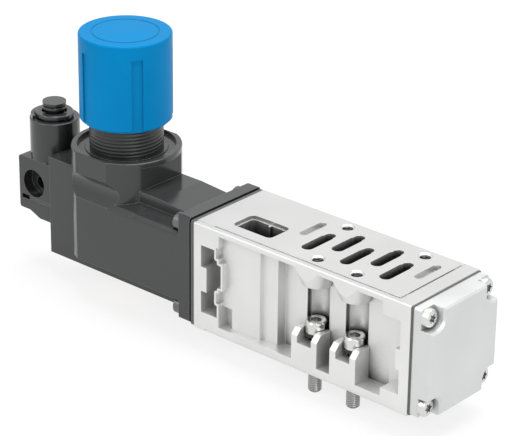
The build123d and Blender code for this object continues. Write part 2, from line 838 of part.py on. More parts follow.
# Regulator housing, one moulding
with BuildPart() as regulator_housing:
    # Upright cylinder with flats on its long sides and one towards the plate
    with BuildSketch(Plane.XY.offset(wing_bottom)):
        with Locations((collar_x, 0)):
            Circle(collar_radius)
            Rectangle(2 * collar_radius, plate_width, mode=Mode.INTERSECT)
    extrude(amount=collar_top - wing_bottom)
    fillet(regulator_housing.edges().group_by(Axis.Z)[-1], collar_edge)
    with BuildSketch(Plane.XY.offset(spine_top)):
        with Locations((collar_flat_x, 0)):
            Rectangle(collar_radius, plate_width, align=(Align.MIN, Align.CENTER))
    extrude(amount=collar_top - collar_rim - spine_top, mode=Mode.SUBTRACT)

    # Side boxes with sloping ledges
    with BuildSketch(Plane.YZ.offset(collar_x)) as wing_section:
        with BuildLine():
            Polyline(
                (-half_width, wing_bottom),
                (half_width, wing_bottom),
                (half_width, wing_edge_top),
                (spine_half_width, wing_inner_top),
                (-spine_half_width, wing_inner_top),
                (-half_width, wing_edge_top),
                close=True,
            )
        make_face()
        fillet(wing_section.vertices().group_by(Axis.Y)[1], wing_edge_radius)
    extrude(amount=flange_left - collar_x)

    # Coves along the long flats of the cylinder
    with BuildSketch(Plane.YZ.offset(collar_x - collar_radius)):
        with Locations(
            (half_width + cove_radius - cove_depth, cove_center_z),
            (-half_width - cove_radius + cove_depth, cove_center_z),
        ):
            Circle(cove_radius)
    extrude(amount=2 * collar_radius, mode=Mode.SUBTRACT)

    # Spine from the gauge end to the flange, with a heel up to the flange
    with BuildSketch(Plane.XZ):
        with BuildLine():
            heel_z = spine_top - spine_slope_drop
            Polyline(
                (flange_left, heel_z + heel_radius),
                (flange_left, spine_bottom),
                (spine_left, spine_bottom),
                (spine_left, spine_top),
                (spine_slope_start, spine_top),
                (spine_slope_end, heel_z),
                (flange_left - heel_radius, heel_z),
            )
            CenterArc((flange_left - heel_radius, heel_z + heel_radius), heel_radius, 270, 90)
        make_face()
    extrude(amount=spine_half_width, both=True)
    with BuildSketch(Plane.YZ.offset(flange_left)):
        with Locations((0, (flange_top + flange_bottom) / 2)):
            RectangleRounded(plate_width, face_height, flange_corner)
    extrude(amount=flange_thickness)

    # Gauge end: port block and round tower
    with BuildSketch(Plane.XZ) as block_profile:
        with BuildLine():
            Polyline(
                (port_block_left, port_block_bottom),
                (clip_left, port_block_bottom),
                (gauge_x, port_belly_z),
                (spine_left, port_belly_z),
                (spine_left, port_block_top),
                (port_block_left, port_block_top),
                close=True,
            )
        make_face()
        fillet(block_profile.vertices().group_by(Axis.X)[0], port_block_corner)
    extrude(amount=port_block_half_width, both=True)
    disc(gauge_x, port_block_top, gauge_top, gauge_radius)
    fillet(regulator_housing.edges().group_by(Axis.Z)[-1], collar_edge)
    with BuildSketch(Plane.XY.offset(gauge_top)):
        with Locations((gauge_x, 0)):
            Circle(gauge_radius - collar_edge)
            Circle(gauge_radius - collar_edge - tower_rim_width, mode=Mode.SUBTRACT)
        with Locations((gauge_x - tower_rim_reach, 0)):
            Rectangle(2 * gauge_radius, 2 * gauge_radius, align=(Align.MIN, Align.CENTER), mode=Mode.SUBTRACT)
    extrude(amount=tower_rim_rise)

    # Collar recess, ring seat, bonnet bore and piston bore
    disc(collar_x, ring_floor_z, collar_top, collar_radius - collar_rim, Mode.SUBTRACT)
    disc(collar_x, ring_floor_z - ring_depth, collar_top, ring_radius + loose_fit, Mode.SUBTRACT)
    disc(collar_x, bonnet_bottom, collar_top, bonnet_radius + loose_fit, Mode.SUBTRACT)
    disc(
        collar_x,
        piston_bore_bottom,
        bonnet_bottom,
        piston_radius + running_clearance,
        Mode.SUBTRACT,
    )

    # Valve chamber and the seat of the bottom plug
    disc(collar_x, valve_seat_z, piston_bore_bottom, valve_seat_radius, Mode.SUBTRACT)
    disc(collar_x, plug_top_z, valve_seat_z, valve_chamber_radius, Mode.SUBTRACT)
    disc(collar_x, spine_bottom, plug_top_z, bottom_plug_radius + loose_fit, Mode.SUBTRACT)
    disc(
        collar_x,
        spine_bottom,
        spine_bottom + bottom_plug_flange,
        bottom_plug_radius + bottom_plug_flange + loose_fit,
        Mode.SUBTRACT,
    )

    # Galleries from the flange face, and the duct to the gauge tower
    with BuildSketch(Plane.YZ.offset(seal_left)):
        with Locations((gallery_y, supply_z), (gallery_y, regulated_z)):
            Circle(gallery_radius)
    extrude(amount=collar_x - seal_left, mode=Mode.SUBTRACT)
    with BuildSketch(Plane.YZ.offset(gauge_x)):
        with Locations((0, regulated_z)):
            Circle(gauge_duct_radius)
    extrude(amount=collar_x - gauge_x, mode=Mode.SUBTRACT)
    disc(
        gauge_x,
        regulated_z - gauge_riser_radius,
        gauge_top,
        gauge_riser_radius,
        Mode.SUBTRACT,
    )
    disc(gauge_x, cartridge_bottom, gauge_top, cartridge_radius + loose_fit, Mode.SUBTRACT)

    # Side port, clip slot and finger pocket
    with BuildSketch(Plane.XZ.offset(port_block_half_width)):
        with Locations((side_port_x, side_port_z)):
            Circle(side_port_radius)
    extrude(amount=-side_port_depth, mode=Mode.SUBTRACT)
    with BuildSketch(Plane.XZ.offset(port_block_half_width - side_port_depth)):
        with Locations((side_port_x, side_port_z)):
            Circle(port_insert_radius)
    extrude(amount=-port_insert_thickness, mode=Mode.SUBTRACT)
    with BuildSketch(Plane.XZ.offset(side_port_floor)):
        with Locations((side_port_x, side_port_z - side_port_drop)):
            Circle(side_port_bore)
    extrude(amount=-side_bore_depth, mode=Mode.SUBTRACT)
    with BuildSketch(Plane.XZ.offset(port_block_half_width)):
        with Locations((clip_left - loose_fit, clip_z)):
            Rectangle(
                clip_length + 2 * loose_fit,
                clip_thickness + 2 * loose_fit,
                align=(Align.MIN, Align.CENTER),
            )
    extrude(amount=-clip_depth - loose_fit, mode=Mode.SUBTRACT)
    with BuildSketch(Plane.XZ.offset(port_block_half_width)):
        with Locations((clip_left, clip_z)):
            Rectangle(
                clip_pocket_length,
                clip_pocket_height,
                align=(Align.MAX, Align.CENTER),
            )
    extrude(amount=-clip_pocket_depth, mode=Mode.SUBTRACT)

    # Screw holes in the flange, with round reliefs for the heads
    with BuildSketch(Plane.YZ.offset(flange_left)):
        with Locations(*corner_points):
            Circle(corner_hole_radius)
    extrude(amount=flange_thickness, mode=Mode.SUBTRACT)
    with BuildSketch(Plane.YZ.offset(flange_left)):
        with Locations(*corner_points):
            Circle(housing_screw_head_radius + head_relief)
    extrude(amount=-housing_screw_head_height - head_relief, mode=Mode.SUBTRACT)
export_node(regulator_housing, "regulator_housing")

# Screws through the flange corners
with BuildPart() as housing_screws:
    with BuildSketch(Plane.YZ.offset(flange_left)):
        with Locations(*corner_points):
            Circle(housing_screw_head_radius)
    extrude(amount=-housing_screw_head_height)
    chamfer(housing_screws.edges().group_by(Axis.X)[0], head_edge)
    with BuildSketch(Plane.YZ.offset(flange_left)):
        with Locations(*corner_points):
            Circle(corner_screw_radius)
    extrude(amount=housing_screw_length)
    with BuildSketch(Plane.YZ.offset(flange_left - housing_screw_head_height)):
        with Locations(*corner_points):
            RegularPolygon(housing_screw_socket / 2, 6, major_radius=False)
    extrude(amount=housing_screw_head_height / 2, mode=Mode.SUBTRACT)
export_node(housing_screws, "housing_screws")

# Ring in the collar and the bonnet it locks
with BuildPart() as bonnet_ring:
    disc(collar_x, ring_floor_z - ring_depth, ring_floor_z + ring_rise, ring_radius)
    disc(
        collar_x,
        ring_floor_z - ring_depth,
        ring_floor_z + ring_rise,
        bonnet_radius + loose_fit,
        Mode.SUBTRACT,
    )
export_node(bonnet_ring, "bonnet_ring")

with BuildPart() as bonnet:
    disc(collar_x, bonnet_bottom, bonnet_shoulder, bonnet_radius)
    chamfer(bonnet.edges().group_by(Axis.Z)[-1], bonnet_edge)
    disc(collar_x, bonnet_shoulder, bonnet_top, bonnet_neck_radius)
    chamfer(bonnet.edges().group_by(Axis.Z)[-1], bonnet_edge)
    disc(collar_x, bonnet_bottom, bonnet_bore_top, bonnet_bore, Mode.SUBTRACT)
    disc(collar_x, bonnet_bottom, roof_z, bonnet_neck_bore, Mode.SUBTRACT)
    disc(collar_x, roof_z, bonnet_top, spindle_radius + running_clearance, Mode.SUBTRACT)
    with BuildSketch(Plane.XY.offset(bonnet_bottom)):
        with Locations((collar_x, 0)):
            Rectangle(nut_slot_width, 2 * (bonnet_bore + nut_slot_reach))
    extrude(amount=bonnet_bore_top - bonnet_bottom, mode=Mode.SUBTRACT)
export_node(bonnet, "bonnet")

# Knob: pull to unlock, turn to set
with BuildPart() as knob:
    disc(collar_x, knob_bottom, knob_top, knob_radius)
    fillet(knob.edges().group_by(Axis.Z)[-1], knob_edge)
    chamfer(knob.edges().group_by(Axis.Z)[0], knob_foot_chamfer)
    with BuildSketch(Plane.XY.offset(knob_bottom)):
        with Locations((collar_x, 0)):
            with PolarLocations(knob_radius, knob_groove_count, start_angle=knob_groove_turn):
                Rectangle(2 * knob_groove_depth, knob_groove_width)
    extrude(amount=knob_top - knob_groove_start - knob_bottom, mode=Mode.SUBTRACT)
    disc(
        collar_x,
        knob_bottom,
        knob_top - knob_roof,
        knob_radius - knob_wall,
        Mode.SUBTRACT,
    )
    disc(collar_x, knob_hub_bottom, knob_top - knob_roof, knob_hub_radius)
    with BuildSketch(Plane.XY.offset(knob_hub_bottom)):
        with Locations((collar_x, 0)):
            RegularPolygon(spindle_hex / 2 + running_clearance, 6, major_radius=False)
    extrude(amount=knob_top - knob_roof - knob_hub_bottom, mode=Mode.SUBTRACT)
    with BuildSketch(Plane.XY.offset(knob_guide_bottom)):
        with Locations((collar_x, 0)):
            Circle(knob_radius - knob_wall)
            Circle(bonnet_neck_radius + running_clearance, mode=Mode.SUBTRACT)
    extrude(amount=knob_guide_height)
    with BuildSketch(Plane.XY.offset(knob_top)):
        with Locations((collar_x, 0)):
            Circle(ring_line_radius + ring_line_width / 2)
            Circle(ring_line_radius - ring_line_width / 2, mode=Mode.SUBTRACT)
    extrude(amount=-ring_line_depth, mode=Mode.SUBTRACT)
export_node(knob, "knob")

# Spindle, the ring that holds it, and the nut it drives
with BuildPart() as spindle:
    disc(collar_x, spindle_bottom, spindle_hex_bottom, spindle_radius)
    chamfer(spindle.edges().group_by(Axis.Z)[0], head_edge)
    disc(
        collar_x,
        collar_top_z - spindle_collar_height,
        collar_top_z,
        spindle_collar_radius,
    )
    with BuildSketch(Plane.XY.offset(spindle_hex_bottom)):
        with Locations((collar_x, 0)):
            RegularPolygon(spindle_hex / 2, 6, major_radius=False)
    extrude(amount=spindle_top - spindle_hex_bottom)
export_node(spindle, "spindle")

with BuildPart() as spindle_ring:
    ring_top_z = collar_top_z - spindle_collar_height - spindle_ring_gap
    disc(collar_x, ring_top_z - spindle_ring_height, ring_top_z, bonnet_neck_bore)
    disc(
        collar_x,
        ring_top_z - spindle_ring_height,
        ring_top_z,
        spindle_radius + 2 * running_clearance,
        Mode.SUBTRACT,
    )
export_node(spindle_ring, "spindle_ring")

with BuildPart() as spring_nut:
    disc(collar_x, nut_bottom, nut_bottom + nut_height, bonnet_bore - running_clearance)
    with BuildSketch(Plane.XY.offset(nut_bottom)):
        with Locations((collar_x, 0)):
            Rectangle(
                nut_slot_width - 2 * running_clearance,
                2 * (bonnet_bore + nut_slot_reach - running_clearance),
            )
    extrude(amount=nut_height)
    disc(
        collar_x,
        nut_bottom,
        nut_bottom + nut_height,
        spindle_radius + running_clearance,
        Mode.SUBTRACT,
    )
export_node(spring_nut, "spring_nut")

with BuildPart() as range_spring:
    coil_spring(
        collar_x,
        spring_floor_z + spring_gap,
        nut_bottom,
        range_spring_radius,
        range_spring_wire,
        range_spring_turns,
    )
export_node(range_spring, "range_spring")

# Control piston with its ring
with BuildPart() as control_piston:
    disc(collar_x, piston_bottom, piston_bottom + piston_height, piston_radius)
    disc(
        collar_x,
        spring_floor_z,
        spring_floor_z + piston_recess_depth,
        piston_recess_radius,
        Mode.SUBTRACT,
    )
    with BuildSketch(Plane.XY.offset(piston_bottom + piston_groove_depth)):
        with Locations((collar_x, 0)):
            Circle(piston_radius)
            Circle(piston_radius - piston_groove_depth, mode=Mode.SUBTRACT)
    extrude(amount=piston_groove_height, mode=Mode.SUBTRACT)
export_node(control_piston, "control_piston")

with BuildPart() as piston_seal:
    with BuildSketch(Plane.XY.offset(piston_bottom + piston_groove_depth)):
        with Locations((collar_x, 0)):
            Circle(piston_radius + running_clearance / 2)
            Circle(piston_radius - piston_groove_depth, mode=Mode.SUBTRACT)
    extrude(amount=piston_groove_height)
    chamfer(piston_seal.edges(), piston_groove_depth / 4)
export_node(piston_seal, "piston_seal")

# Valve: seat, poppet, spring and bottom plug
with BuildPart() as valve_seat:
    disc(collar_x, seat_bottom_z, valve_seat_z, valve_chamber_radius)
    disc(collar_x, seat_bottom_z, valve_seat_z, valve_seat_radius, Mode.SUBTRACT)
export_node(valve_seat, "valve_seat")

with BuildPart() as valve_poppet:
    disc(collar_x, guide_pin_bottom, piston_bottom - stem_gap, stem_radius)
    disc(collar_x, poppet_bottom, poppet_seal_bottom, poppet_radius)
export_node(valve_poppet, "valve_poppet")

with BuildPart() as poppet_seal:
    disc(collar_x, poppet_seal_bottom, poppet_seal_bottom + poppet_seal_height, poppet_radius)
    disc(
        collar_x,
        poppet_seal_bottom,
        poppet_seal_bottom + poppet_seal_height,
        stem_radius,
        Mode.SUBTRACT,
    )
export_node(poppet_seal, "poppet_seal")

with BuildPart() as poppet_spring:
    coil_spring(
        collar_x,
        plug_top_z,
        poppet_bottom,
        poppet_spring_radius,
        poppet_spring_wire,
        poppet_spring_turns,
    )
export_node(poppet_spring, "poppet_spring")

with BuildPart() as bottom_plug:
    disc(
        collar_x,
        spine_bottom,
        spine_bottom + bottom_plug_flange,
        bottom_plug_radius + bottom_plug_flange,
    )
    disc(collar_x, spine_bottom + bottom_plug_flange, plug_top_z, bottom_plug_radius)
    disc(collar_x, plug_top_z, plug_top_z + guide_boss_height, guide_boss_radius)
    disc(
        collar_x,
        plug_top_z + guide_boss_height - guide_bore_depth,
        plug_top_z + guide_boss_height,
        stem_radius + running_clearance,
        Mode.SUBTRACT,
    )
    with BuildSketch(Plane.XY.offset(spine_bottom)):
        with Locations((collar_x, 0)):
            RegularPolygon(bottom_plug_hex / 2, 6, major_radius=False)
    extrude(amount=bottom_plug_hex_depth, mode=Mode.SUBTRACT)
    with BuildSketch(Plane.XY.offset(spine_bottom + bottom_plug_flange + plug_groove_rise)):
        with Locations((collar_x, 0)):
            Circle(bottom_plug_radius)
            Circle(bottom_plug_radius - plug_groove_depth, mode=Mode.SUBTRACT)
    extrude(amount=plug_groove_height, mode=Mode.SUBTRACT)
export_node(bottom_plug, "bottom_plug")

with BuildPart() as bottom_plug_seal:
    with BuildSketch(Plane.XY.offset(spine_bottom + bottom_plug_flange + plug_groove_rise)):
        with Locations((collar_x, 0)):
            Circle(bottom_plug_radius + loose_fit)
            Circle(bottom_plug_radius - plug_groove_depth, mode=Mode.SUBTRACT)
    extrude(amount=plug_groove_height)
export_node(bottom_plug_seal, "bottom_plug_seal")

# Gauge connection: cartridge, seal, grip ring, release ring and plug
with BuildPart() as gauge_cartridge:
    disc(gauge_x, cartridge_bottom, gauge_top, cartridge_radius)
    disc(gauge_x, cartridge_bottom, gauge_top, cartridge_port_radius, Mode.SUBTRACT)
    disc(
        gauge_x,
        cartridge_bottom + cartridge_floor,
        gauge_top,
        plug_radius + loose_fit,
        Mode.SUBTRACT,
    )
    disc(
        gauge_x,
        cartridge_bottom + cartridge_step,
        gauge_top,
        cartridge_bore,
        Mode.SUBTRACT,
    )
export_node(gauge_cartridge, "gauge_cartridge")

with BuildPart() as tube_seal:
    seal_floor = cartridge_bottom + cartridge_step
    disc(gauge_x, seal_floor, seal_floor + tube_seal_height, cartridge_bore)
    disc(
        gauge_x,
        seal_floor,
        seal_floor + tube_seal_height,
        plug_radius + loose_fit,
        Mode.SUBTRACT,
    )
export_node(tube_seal, "tube_seal")

with BuildPart() as grip_ring:
    disc(gauge_x, seal_floor + grip_rise, seal_floor + grip_rise + grip_height, cartridge_bore)
    with Locations((gauge_x, 0, seal_floor + grip_rise)):
        Cone(
            plug_radius + loose_fit,
            cartridge_bore - loose_fit,
            grip_height,
            align=(Align.CENTER, Align.CENTER, Align.MIN),
            mode=Mode.SUBTRACT,
        )
export_node(grip_ring, "grip_ring")

with BuildPart() as release_ring:
    with BuildSketch(Plane.XY.offset(release_bottom)):
        with Locations((gauge_x, 0)):
            Circle(release_ring_radius)
        with Locations((gauge_x + release_tab_reach - release_tab_radius, 0)):
            Circle(release_tab_radius)
        make_hull()
    extrude(amount=release_ring_height)
    chamfer(release_ring.edges().group_by(Axis.Z)[-1], release_ring_height / 4)
    disc(
        gauge_x,
        release_bottom - release_sleeve_length,
        release_bottom,
        cartridge_bore - running_clearance,
    )
    disc(
        gauge_x,
        release_bottom - release_sleeve_length,
        release_bottom + release_ring_height,
        release_bore,
        Mode.SUBTRACT,
    )
export_node(release_ring, "release_ring")

with BuildPart() as blanking_plug:
    disc(gauge_x, plug_top - plug_length, plug_top, plug_radius)
    chamfer(blanking_plug.edges().group_by(Axis.Z)[0], head_edge)
    neck_top = plug_top - plug_disc_thickness
    for neck_height in (plug_disc_gap, plug_neck_length):
        with BuildSketch(Plane.XY.offset(neck_top)):
            with Locations((gauge_x, 0)):
                Circle(plug_radius)
                Circle(plug_neck_radius, mode=Mode.SUBTRACT)
        extrude(amount=-neck_height, mode=Mode.SUBTRACT)
        neck_top = neck_top - neck_height - plug_disc_thickness
export_node(blanking_plug, "blanking_plug")

# Insert in the side port and the clip below it
with BuildPart() as port_insert:
    with BuildSketch(Plane.XZ.offset(side_port_floor)):
        with Locations((side_port_x, side_port_z)):
            Circle(port_insert_radius - loose_fit)
        with Locations((side_port_x, side_port_z - side_port_drop)):
            Circle(side_port_bore, mode=Mode.SUBTRACT)
    extrude(amount=port_insert_thickness)
export_node(port_insert, "port_insert")

with BuildPart() as retaining_clip:
    with BuildSketch(Plane.XY.offset(clip_z - clip_thickness / 2)):
        with Locations((clip_left, -port_block_half_width)):
            Rectangle(clip_length, clip_depth, align=(Align.MIN, Align.MIN))
        with Locations((clip_left + clip_leg, -port_block_half_width + clip_leg)):
            Rectangle(
                clip_length - 2 * clip_leg,
                clip_depth,
                align=(Align.MIN, Align.MIN),
                mode=Mode.SUBTRACT,
            )
    extrude(amount=clip_thickness)
export_node(retaining_clip, "retaining_clip")
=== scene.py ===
"""Finishes, threads, light and camera for the pressure regulator plate."""

import json
import logging
import math
from dataclasses import dataclass, field
from enum import Enum

import bpy
from mathutils import Matrix, Vector


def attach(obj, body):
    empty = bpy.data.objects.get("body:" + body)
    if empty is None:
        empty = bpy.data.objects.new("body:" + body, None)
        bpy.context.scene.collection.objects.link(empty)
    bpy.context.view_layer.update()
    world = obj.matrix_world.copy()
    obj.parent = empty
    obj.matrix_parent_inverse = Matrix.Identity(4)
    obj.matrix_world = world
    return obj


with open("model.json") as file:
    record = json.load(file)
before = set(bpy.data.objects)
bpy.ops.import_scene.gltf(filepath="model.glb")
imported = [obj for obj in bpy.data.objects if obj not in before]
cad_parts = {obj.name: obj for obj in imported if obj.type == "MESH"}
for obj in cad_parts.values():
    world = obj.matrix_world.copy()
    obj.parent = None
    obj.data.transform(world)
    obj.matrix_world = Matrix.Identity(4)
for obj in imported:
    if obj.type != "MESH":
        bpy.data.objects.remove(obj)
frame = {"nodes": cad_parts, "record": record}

MM = 0.001
LOG = logging.getLogger("regulator_plate")

Colour = tuple[float, float, float]
Point = tuple[float, float, float]


class Surface(Enum):
    """Kinds of base surface that a finish starts from, as their share of metal."""

    METAL = 1.0
    CAST = 0.7
    DIELECTRIC = 0.0


class Graph:
    """Small helper that places and links nodes in one node tree."""

    def __init__(self, tree: bpy.types.NodeTree) -> None:
        """Start on an empty tree.

        Args:
            tree: Node tree of a material, a world or a group.
        """
        self.tree = tree
        tree.nodes.clear()

    def add(self, kind: str, **settings: object) -> bpy.types.Node:
        """Place one node.

        Args:
            kind: Node type without the ShaderNode prefix, or a full identifier.
            settings: Properties that are set on the node.

        Returns:
            The new node.
        """
        identifier = kind if kind.startswith("NodeGroup") else f"ShaderNode{kind}"
        node = self.tree.nodes.new(identifier)
        for name, value in settings.items():
            setattr(node, name, value)
        return node

    def feed(self, target: bpy.types.NodeSocket, source: object) -> None:
        """Link a socket or set a plain value on an input.

        Args:
            target: Input that receives the value.
            source: Output socket, number or colour.
        """
        if isinstance(source, bpy.types.NodeSocket):
            self.tree.links.new(source, target)
        elif isinstance(source, tuple) and len(source) == 3 and target.type == "RGBA":
            target.default_value = (*source, 1.0)
        else:
            target.default_value = source

    def math(self, operation: str, *values: object, clamp: bool = False) -> bpy.types.NodeSocket:
        """Combine numbers with a math node.

        Args:
            operation: Name of the operation, such as MULTIPLY.
            values: Inputs in order.
            clamp: Whether the result stays between zero and one.

        Returns:
            The result socket.
        """
        node = self.add("Math", operation=operation, use_clamp=clamp)
        for target, value in zip(node.inputs, values):
            self.feed(target, value)
        return node.outputs["Value"]

    def blend(self, factor: object, first: object, second: object) -> bpy.types.NodeSocket:
        """Mix two colours.

        Args:
            factor: Share of the second colour.
            first: Colour at factor zero.
            second: Colour at factor one.

        Returns:
            The mixed colour socket.
        """
        node = self.add("Mix", data_type="RGBA")
        self.feed(node.inputs[0], factor)
        self.feed(node.inputs[6], first)
        self.feed(node.inputs[7], second)
        return node.outputs[2]

    def remap(self, value: object, low: float, high: float) -> bpy.types.NodeSocket:
        """Map a zero to one value onto a range.

        Args:
            value: Socket that runs from zero to one.
            low: Result at zero.
            high: Result at one.

        Returns:
            The remapped socket.
        """
        node = self.add("MapRange")
        self.feed(node.inputs["Value"], value)
        node.inputs["To Min"].default_value = low
        node.inputs["To Max"].default_value = high
        return node.outputs["Result"]

    def group(self, tree: bpy.types.NodeTree, **values: object) -> bpy.types.Node:
        """Place a shared effect and set its inputs.

        Args:
            tree: The effect's node group.
            values: Input values by name, with underscores for spaces.

        Returns:
            The group node.
        """
        node = self.add("Group", node_tree=tree)
        for name, value in values.items():
            self.feed(node.inputs[name.replace("_", " ")], value)
        return node


class Effects:
    """Shared surface effects, each one a node group built once."""

    pit_scale: float = 0.7
    pit_share: float = 0.4
    patina_detail: float = 4.0
    edge_samples: int = 6
    edge_gain: float = 6.0
    shade_samples: int = 8
    shade_start: float = 0.4
    shade_gain: float = 3.0
    pale_half_width: float = 2.5 * MM
    wobble_scale: float = 60.0
    wobble_turns: float = 2.0
    track_height: float = 0.25

    def __init__(self) -> None:
        """Build all the groups."""
        self.grain = self._grain()
        self.patina = self._patina()
        self.edge = self._edge()
        self.hollow = self._hollow()
        self.feed_marks = self._feed_marks()

    @staticmethod
    def _open(name: str, inputs: dict[str, float], outputs: dict[str, str]) -> tuple:
        """Start a group with float inputs and typed outputs.

        Args:
            name: Name of the group.
            inputs: Input names with their defaults.
            outputs: Output names with their socket kinds.

        Returns:
            The tree, its graph helper, and its input and output nodes.
        """
        tree = bpy.data.node_groups.new(name, "ShaderNodeTree")
        graph = Graph(tree)
        for label, default in inputs.items():
            socket = tree.interface.new_socket(label, in_out="INPUT", socket_type="NodeSocketFloat")
            socket.default_value = default
        for label, kind in outputs.items():
            tree.interface.new_socket(label, in_out="OUTPUT", socket_type=kind)
        return tree, graph, graph.add("NodeGroupInput"), graph.add("NodeGroupOutput")

    def _grain(self) -> bpy.types.NodeTree:
        """Fine blasted or moulded grain in the part's own coordinates.

        Returns:
            Group with a height output.
        """
        tree, graph, source, result = self._open(
            "surface_grain",
            {"Scale": 900.0, "Detail": 3.0},
            {"Height": "NodeSocketFloat"},
        )
        place = graph.add("TexCoord").outputs["Object"]
        fine = graph.add("TexNoise")
        graph.feed(fine.inputs["Vector"], place)
        graph.feed(fine.inputs["Scale"], source.outputs["Scale"])
        graph.feed(fine.inputs["Detail"], source.outputs["Detail"])
        pits = graph.add("TexVoronoi")
        graph.feed(pits.inputs["Vector"], place)
        graph.feed(pits.inputs["Scale"], graph.math("MULTIPLY", source.outputs["Scale"], self.pit_scale))
        pitting = graph.math("MULTIPLY", pits.outputs["Distance"], self.pit_share)
        height = graph.math("ADD", fine.outputs["Fac"], pitting)
        graph.feed(result.inputs["Height"], height)
        return tree

    def _patina(self) -> bpy.types.NodeTree:
        """Slow drift of tone, as handling and cooling leave it.

        Returns:
            Group with one mask output from zero to one.
        """
        tree, graph, source, result = self._open(
            "slow_patina", {"Scale": 30.0, "Contrast": 1.0}, {"Mask": "NodeSocketFloat"}
        )
        noise = graph.add("TexNoise")
        graph.feed(noise.inputs["Vector"], graph.add("TexCoord").outputs["Object"])
        graph.feed(noise.inputs["Scale"], source.outputs["Scale"])
        noise.inputs["Detail"].default_value = self.patina_detail
        centred = graph.math("SUBTRACT", noise.outputs["Fac"], 0.5)
        spread = graph.math("MULTIPLY", centred, graph.math("MULTIPLY", source.outputs["Contrast"], 2.0))
        graph.feed(result.inputs["Mask"], graph.math("ADD", spread, 0.5, clamp=True))
        return tree

    def _edge(self) -> bpy.types.NodeTree:
        """Rounded edge normal, and a mask that is one along the edges.

        Returns:
            Group with a normal and a mask output.
        """
        tree, graph, source, result = self._open(
            "soft_edge",
            {"Radius": 0.0004},
            {"Normal": "NodeSocketVector", "Mask": "NodeSocketFloat"},
        )
        bevel = graph.add("Bevel", samples=self.edge_samples)
        graph.feed(bevel.inputs["Radius"], source.outputs["Radius"])
        flat = graph.add("NewGeometry").outputs["Normal"]
        compare = graph.add("VectorMath", operation="DOT_PRODUCT")
        graph.feed(compare.inputs[0], bevel.outputs["Normal"])
        graph.feed(compare.inputs[1], flat)
        away = graph.math("SUBTRACT", 1.0, compare.outputs["Value"])
        graph.feed(result.inputs["Mask"], graph.math("MULTIPLY", away, self.edge_gain, clamp=True))
        graph.feed(result.inputs["Normal"], bevel.outputs["Normal"])
        return tree

    def _hollow(self) -> bpy.types.NodeTree:
        """Shade that deepens in pockets, slots and corners.

        Returns:
            Group with a mask that is one in the open and falls in hollows.
        """
        tree, graph, source, result = self._open(
            "hollow_shade",
            {
                "Reach": 0.01,
                "Depth": 0.5,
                "Outer": 0.3,
                "Front": -1.0,
                "Rear": 1.0,
                "Left": -1.0,
                "Pale": 9.0,
            },
            {"Mask": "NodeSocketFloat"},
        )
        shade = graph.add("AmbientOcclusion", samples=self.shade_samples)
        graph.feed(shade.inputs["Distance"], source.outputs["Reach"])
        closed = graph.math("SUBTRACT", 1.0, shade.outputs["AO"])
        past = graph.math("SUBTRACT", closed, self.shade_start, clamp=True)
        deep = graph.math("MULTIPLY", past, self.shade_gain, clamp=True)
        place = graph.add("SeparateXYZ")
        graph.feed(place.inputs[0], graph.add("TexCoord").outputs["Object"])
        behind = graph.math("GREATER_THAN", place.outputs["Y"], source.outputs["Front"])
        before = graph.math("LESS_THAN", place.outputs["Y"], source.outputs["Rear"])
        across = graph.math("ABSOLUTE", place.outputs["X"])
        aside = graph.math("ABSOLUTE", graph.math("SUBTRACT", across, source.outputs["Pale"]))
        deep_slot = graph.math("GREATER_THAN", aside, self.pale_half_width)
        beyond = graph.math("GREATER_THAN", place.outputs["X"], source.outputs["Left"])
        band = graph.math("MULTIPLY", behind, before)
        inside = graph.math("MULTIPLY", band, graph.math("MULTIPLY", beyond, deep_slot))
        extra = graph.math("SUBTRACT", source.outputs["Depth"], source.outputs["Outer"])
        depth = graph.math("ADD", source.outputs["Outer"], graph.math("MULTIPLY", inside, extra))
        lost = graph.math("MULTIPLY", deep, depth)
        graph.feed(result.inputs["Mask"], graph.math("SUBTRACT", 1.0, lost))
        return tree

    def _feed_marks(self) -> bpy.types.NodeTree:
        """Faint parallel tracks that a milling cutter leaves.

        Returns:
            Group with a height output.
        """
        tree, graph, source, result = self._open(
            "feed_marks", {"Spacing": 0.0006}, {"Height": "NodeSocketFloat"}
        )
        place = graph.add("SeparateXYZ")
        graph.feed(place.inputs[0], graph.add("TexCoord").outputs["Object"])
        along = graph.math("DIVIDE", place.outputs["X"], source.outputs["Spacing"])
        wobble = graph.add("TexNoise")
        graph.feed(wobble.inputs["Vector"], graph.add("TexCoord").outputs["Object"])
        wobble.inputs["Scale"].default_value = self.wobble_scale
        swing = graph.math("MULTIPLY", wobble.outputs["Fac"], self.wobble_turns)
        turned = graph.math("ADD", along, swing)
        wave = graph.math("SINE", graph.math("MULTIPLY", turned, 2.0 * math.pi))
        graph.feed(result.inputs["Height"], graph.math("MULTIPLY", wave, self.track_height))
        return tree


